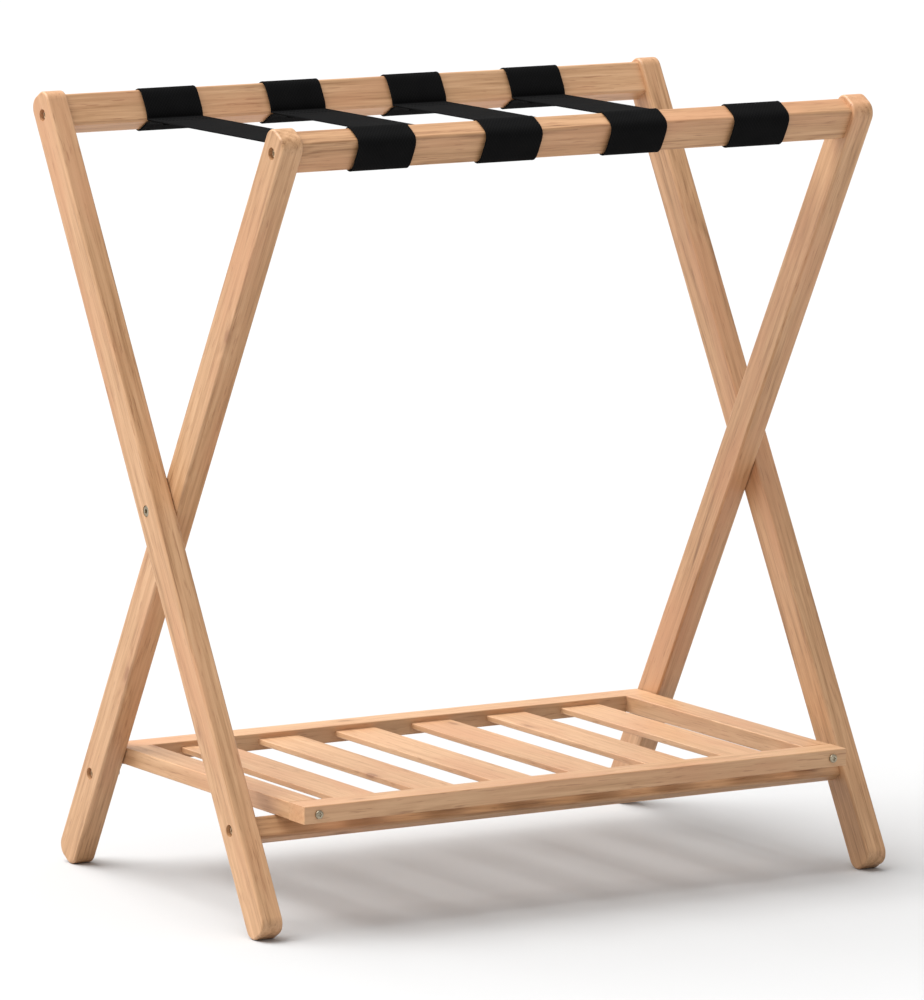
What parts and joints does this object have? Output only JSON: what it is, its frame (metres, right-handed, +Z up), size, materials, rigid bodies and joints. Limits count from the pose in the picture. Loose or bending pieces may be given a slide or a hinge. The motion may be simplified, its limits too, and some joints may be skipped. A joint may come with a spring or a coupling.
{
  "type": "folding luggage rack",
  "caption": "Folding wooden luggage rack: crossed leg frames with webbing straps over the top rails and a slatted shelf between the legs.",
  "frame": {"origin": "on the floor, midway between the feet, under the pivot axis", "axes": "+Z up, X along the rails and the pivot axis, -Y to the front, where the shelf's front rail and the stretcher are"},
  "size_m": [0.62, 0.4076, 0.6782],
  "materials": {
    "frame_wood": "clear satin lacquer on light rubberwood or beech",
    "shelf_wood": "clear satin lacquer on light rubberwood or beech",
    "webbing": "matte black woven polypropylene webbing",
    "zinc_steel": "zinc-plated steel",
    "grey_steel": "dull grey plated steel"
  },
  "bodies": {
    "outer_frame": {"back_strap_loop_1": "webbing", "back_strap_loop_2": "webbing", "back_strap_loop_3": "webbing", "back_strap_loop_4": "webbing", "back_top_rail": "frame_wood", "front_stretcher": "frame_wood", "outer_frame_screws": "zinc_steel", "outer_leg_left": "frame_wood", "outer_leg_right": "frame_wood", "strap_span_1": "webbing", "strap_span_2": "webbing", "strap_span_3": "webbing", "strap_span_4": "webbing"},
    "inner_frame": {"front_strap_loop_1": "webbing", "front_strap_loop_2": "webbing", "front_strap_loop_3": "webbing", "front_strap_loop_4": "webbing", "front_top_rail": "frame_wood", "inner_frame_screws": "zinc_steel", "inner_leg_left": "frame_wood", "inner_leg_right": "frame_wood", "pivot_bolts": "grey_steel", "pivot_inserts": "grey_steel", "pivot_washers": "grey_steel", "shelf_hinge_bolts": "zinc_steel", "shelf_hinge_nuts": "zinc_steel"},
    "shelf": {"hinge_plate_screws": "zinc_steel", "shelf_back_rail": "shelf_wood", "shelf_end_rail_left": "shelf_wood", "shelf_end_rail_right": "shelf_wood", "shelf_front_rail": "shelf_wood", "shelf_hinge_plate_left": "zinc_steel", "shelf_hinge_plate_right": "zinc_steel", "shelf_rail_screws": "zinc_steel", "shelf_slat_1": "shelf_wood", "shelf_slat_2": "shelf_wood", "shelf_slat_3": "shelf_wood", "shelf_slat_4": "shelf_wood", "shelf_slat_5": "shelf_wood", "shelf_slat_6": "shelf_wood"}
  },
  "joints": [
    {"name": "frame_fold", "type": "hinge", "parent": "outer_frame", "child": "inner_frame", "pos_m": [0, 0, 0.33738], "axis": [-1, 0, 0], "range_deg": [0, 55], "deforming": ["strap_span_1", "strap_span_2", "strap_span_3", "strap_span_4"]},
    {"name": "shelf_hinge", "type": "hinge", "parent": "inner_frame", "child": "shelf", "pos_m": [0, 0.145, 0.08623], "axis": [-1, 0, 0], "range_deg": [0, 60]}
  ]
}
